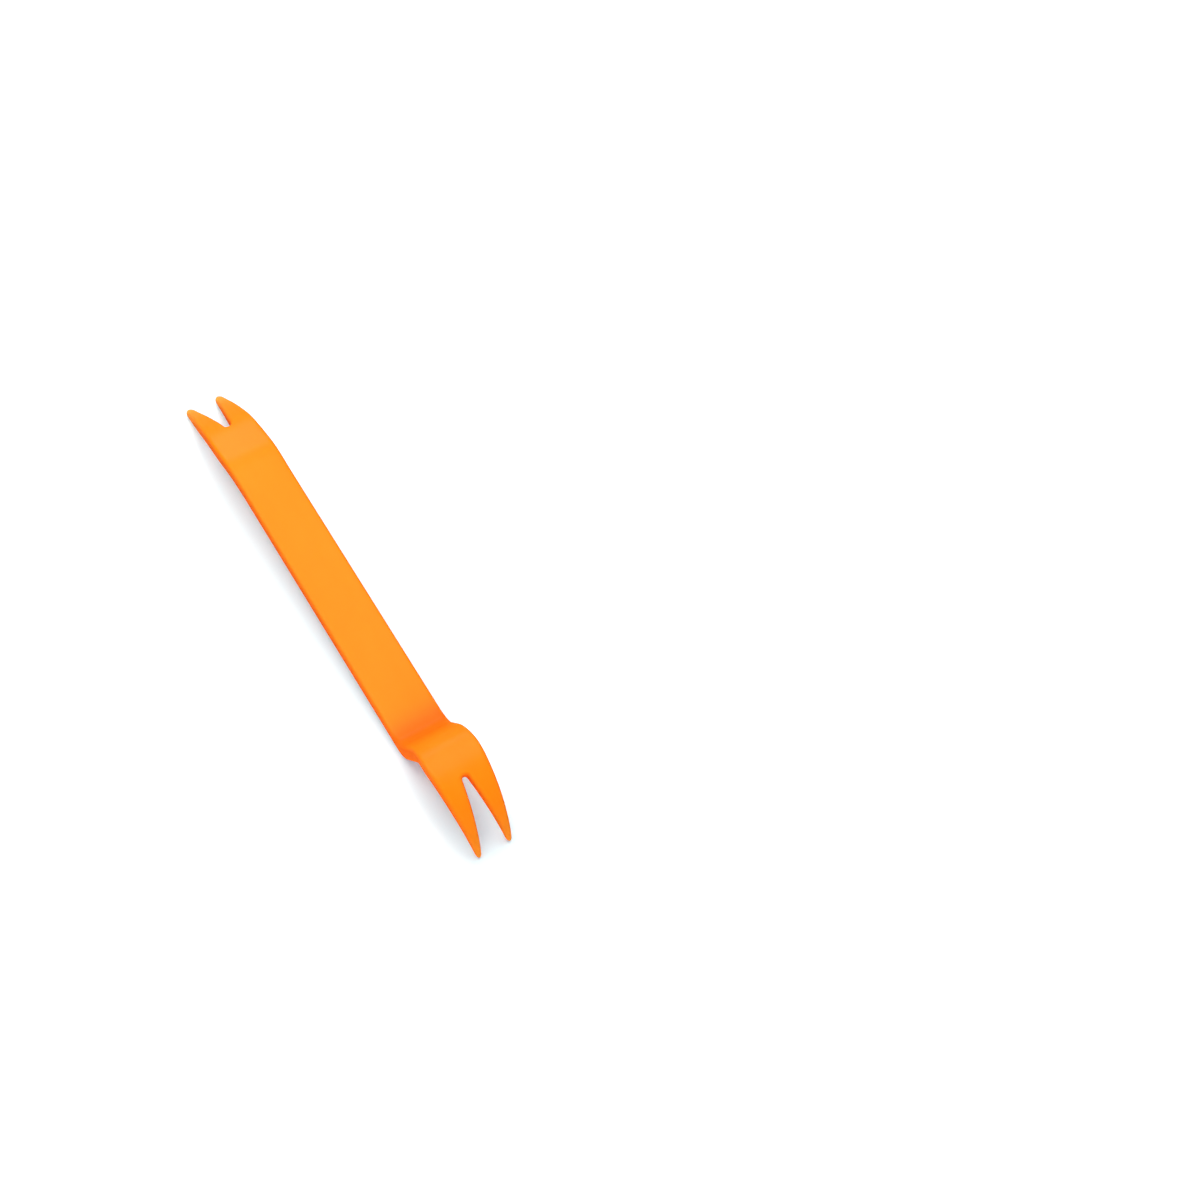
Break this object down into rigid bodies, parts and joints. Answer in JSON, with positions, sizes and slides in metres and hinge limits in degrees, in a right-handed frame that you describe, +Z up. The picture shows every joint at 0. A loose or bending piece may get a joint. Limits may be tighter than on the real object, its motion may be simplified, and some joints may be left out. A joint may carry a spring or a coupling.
{
  "type": "trim removal tool",
  "caption": "Moulded plastic pry tool: a flat strap with a thin V-notched fork at its far end and a humped, V-notched claw at its near end, for levering out car trim and clips.",
  "frame": {"origin": "on the floor under the middle of the tool's bounding box, with the tool lying at rest on the tips of both forks", "axes": "+X along the tool from the flat fork to the claw, +Y across the strap, +Z up"},
  "size_m": [0.211, 0.0196, 0.0251],
  "materials": {
    "orange_plastic": "satin"
  },
  "bodies": {
    "root": {"trim_tool": "orange_plastic"}
  },
  "joints": []
}
